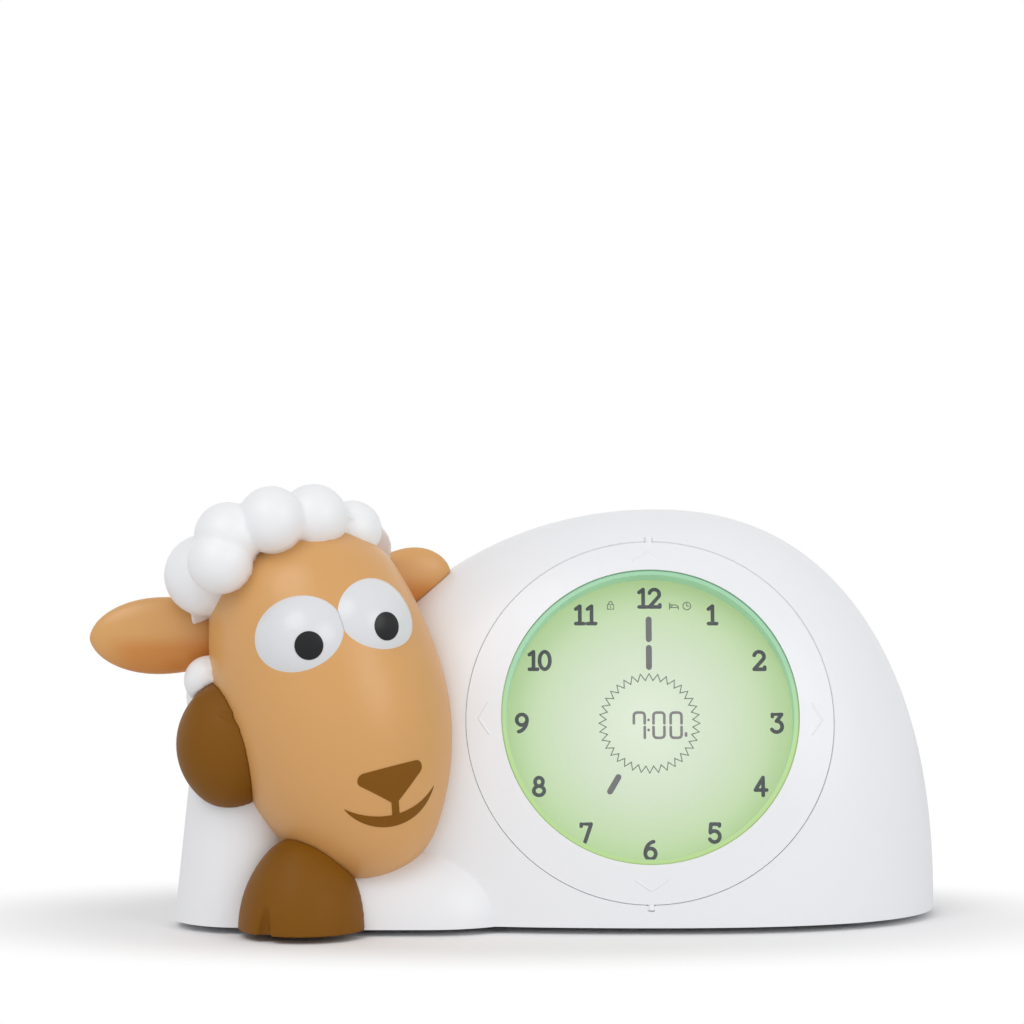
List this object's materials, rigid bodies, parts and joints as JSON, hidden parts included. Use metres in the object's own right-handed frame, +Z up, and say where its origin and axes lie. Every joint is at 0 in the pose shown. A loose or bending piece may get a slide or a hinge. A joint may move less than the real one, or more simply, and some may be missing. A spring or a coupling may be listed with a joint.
{
  "type": "kids alarm clock with night light",
  "caption": "Lamb-shaped bedside clock with a lit round dial, a rocking control ring around it and push buttons, a switch and a battery door at the rear.",
  "frame": {"origin": "centre of the object's outline in plan, on the table under its rubber feet", "axes": "+X to the viewer's right along the clock, +Y to the rear, +Z up; the dial faces -Y"},
  "size_m": [0.244, 0.1065, 0.1267],
  "materials": {
    "body_white": "satin white ABS",
    "dial_green": "translucent white ABS, lit green from behind",
    "rubber_grey": "matt silicone rubber",
    "steel": "zinc-plated steel",
    "clear_lens": "clear polished acrylic",
    "lcd_green": "LCD glass lit green, dark segments",
    "diffuser_white": "milky acrylic",
    "inner_white": "as-moulded ABS",
    "circuit_board": "solder-masked glass epoxy",
    "led_white": "moulded lamp package",
    "panel_grey": "fine-textured ABS",
    "button_grey": "soft-touch silicone",
    "button_green": "soft-touch silicone",
    "black_plastic": "black moulded plastic and paper cone",
    "battery_wrap": "plain plastic sleeve",
    "hoof_brown": "soft-touch brown vinyl",
    "head_tan": "soft-touch tan vinyl",
    "eye_white": "smooth white plastic",
    "pupil_black": "polished black plastic",
    "wool_white": "satin white vinyl"
  },
  "bodies": {
    "case": {"front_shell": "body_white", "rear_shell": "body_white", "base_plate": "body_white", "display_collar": "dial_green", "rubber_feet": "rubber_grey", "ring_keypad": "rubber_grey", "base_screws": "steel", "case_screws": "steel", "display_screws": "steel", "head_screw": "steel", "battery_contacts": "steel", "usb_socket": "steel", "dial_lens": "clear_lens", "lcd_panel": "lcd_green", "backlight_diffuser": "diffuser_white", "display_housing": "inner_white", "battery_tray": "inner_white", "slide_switch_body": "inner_white", "main_board": "circuit_board", "control_board": "circuit_board", "backlight_leds": "led_white", "control_panel": "panel_grey", "tact_switches": "black_plastic", "speaker": "black_plastic", "batteries": "battery_wrap", "front_hoof": "hoof_brown", "cheek_hoof": "hoof_brown", "nose_mouth": "hoof_brown", "head_shell": "head_tan", "ear_left": "head_tan", "ear_right": "head_tan", "eye_left": "eye_white", "eye_right": "eye_white", "pupil_left": "pupil_black", "pupil_right": "pupil_black", "wool_cap": "wool_white"},
    "control_ring": {"control_ring": "body_white"},
    "time_button": {"time_button": "button_grey"},
    "alarm_button": {"alarm_button": "button_grey"},
    "nap_button": {"nap_button": "button_grey"},
    "light_button": {"light_button": "button_green"},
    "volume_button": {"volume_button": "button_grey"},
    "mode_switch": {"mode_switch": "button_grey"},
    "battery_door": {"battery_door": "body_white", "door_screw": "steel"}
  },
  "joints": [
    {"name": "control_ring_rock", "type": "hinge", "parent": "case", "child": "control_ring", "pos_m": [0.0387, -0.01993, 0.05875], "axis": [0, 0.2588, 0.9659], "range_deg": [-1, 1], "stiffness_Nm_per_rad": 0.6},
    {"name": "time_button_press", "type": "slide", "parent": "case", "child": "time_button", "axis": [0, -0.9563, -0.2924], "range_m": [0, 0.0006], "stiffness_N_per_m": 900},
    {"name": "alarm_button_press", "type": "slide", "parent": "case", "child": "alarm_button", "axis": [0, -0.9563, -0.2924], "range_m": [0, 0.0006], "stiffness_N_per_m": 900},
    {"name": "nap_button_press", "type": "slide", "parent": "case", "child": "nap_button", "axis": [0, -0.9563, -0.2924], "range_m": [0, 0.0006], "stiffness_N_per_m": 900},
    {"name": "light_button_press", "type": "slide", "parent": "case", "child": "light_button", "axis": [0, -0.9563, -0.2924], "range_m": [0, 0.0006], "stiffness_N_per_m": 900},
    {"name": "volume_button_press", "type": "slide", "parent": "case", "child": "volume_button", "axis": [0, -0.9563, -0.2924], "range_m": [0, 0.0006], "stiffness_N_per_m": 900},
    {"name": "mode_switch_slide", "type": "slide", "parent": "case", "child": "mode_switch", "axis": [-1, 0, 0], "range_m": [0, 0.004]},
    {"name": "battery_door_swing", "type": "hinge", "parent": "case", "child": "battery_door", "pos_m": [0.041, 0.0535, 0.007], "axis": [-1, 0, 0], "range_deg": [0, 95]}
  ]
}
